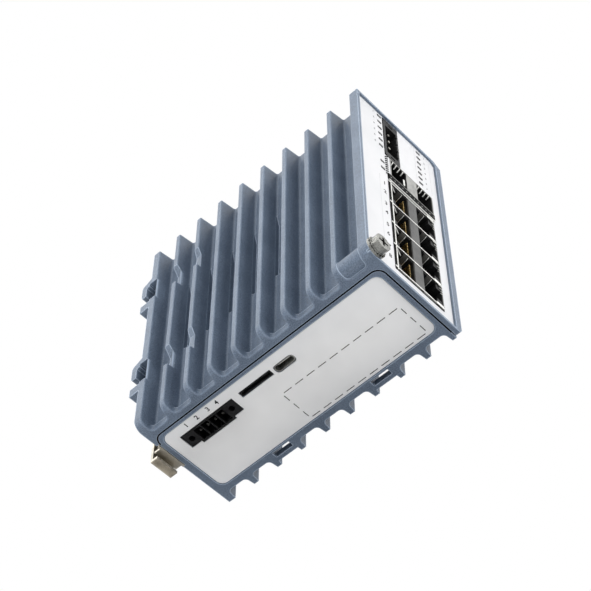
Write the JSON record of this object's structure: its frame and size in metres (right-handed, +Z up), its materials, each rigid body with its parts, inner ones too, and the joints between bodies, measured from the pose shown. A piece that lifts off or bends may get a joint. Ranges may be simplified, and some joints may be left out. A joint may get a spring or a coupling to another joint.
{
  "type": "din rail ethernet switch",
  "caption": "Fan-less rail-mounted network switch: finned die-cast housing, stacked port block, optic cages, pluggable terminals, and a sprung latch for the rail on the rear.",
  "frame": {"origin": "middle of the rail seat: centre of the 35 mm rail's height and of the housing's width, on the plane of the rail's front", "axes": "+X to the right seen from the front, along the rail; +Y from the front panel to the rail; +Z up"},
  "size_m": [0.0495, 0.1264, 0.1164],
  "materials": {
    "casting_paint": "fine textured powder coat",
    "seal_rubber": "matte",
    "front_sheet": "smooth matte sheet",
    "bottom_sheet": "smooth matte sheet",
    "light_pipe": "milky, glossy",
    "board": "solder mask",
    "screw_steel": "zinc plated",
    "black_plastic": "moulded, slightly rough",
    "chip": "moulded, matte",
    "thermal_rubber": "soft matte pad",
    "core_tape": "taped core",
    "capacitor_can": "sleeved can",
    "relay_case": "moulded",
    "pin_tin": "tin plated",
    "shield_steel": "tinned sheet",
    "contact_gold": "gold plated",
    "cage_steel": "nickel plated sheet",
    "nickel": "nickel plated",
    "clip_steel": "yellowish zinc plated sheet",
    "spring_steel": "wire"
  },
  "bodies": {
    "housing": {"left_shell": "casting_paint", "right_shell": "casting_paint", "seam_gasket": "seal_rubber", "front_label": "front_sheet", "bottom_label": "bottom_sheet", "left_light_pipes": "light_pipe", "right_light_pipes": "light_pipe", "lamp_board": "board", "main_board": "board", "power_board": "board", "board_screws": "screw_steel", "board_link": "black_plastic", "processor": "chip", "memory_chips": "chip", "port_chips": "chip", "thermal_pad": "thermal_rubber", "power_transformer": "core_tape", "power_choke": "black_plastic", "bulk_capacitors": "capacitor_can", "alarm_relay": "relay_case", "power_header": "black_plastic", "power_pins": "pin_tin", "io_header": "black_plastic", "io_pins": "pin_tin", "jack_shield": "shield_steel", "jack_housing": "black_plastic", "jack_contacts": "contact_gold", "jack_fingers": "shield_steel", "optic_cage": "cage_steel", "optic_gasket": "cage_steel", "optic_receptacles": "black_plastic", "usb_shell": "shield_steel", "usb_tongue": "black_plastic", "card_socket": "black_plastic", "shell_screws": "screw_steel", "ground_screw": "nickel", "ground_washer": "nickel", "lock_washer": "nickel", "rail_bracket": "clip_steel", "bracket_screws": "screw_steel", "latch_spring": "spring_steel"},
    "latch": {"din_latch": "clip_steel"}
  },
  "joints": [
    {"name": "latch_slide", "type": "slide", "parent": "housing", "child": "latch", "axis": [0, 0, -1], "range_m": [0, 0.004], "stiffness_N_per_m": 1500, "springref_m": -0.002, "deforming": ["latch_spring"]}
  ]
}
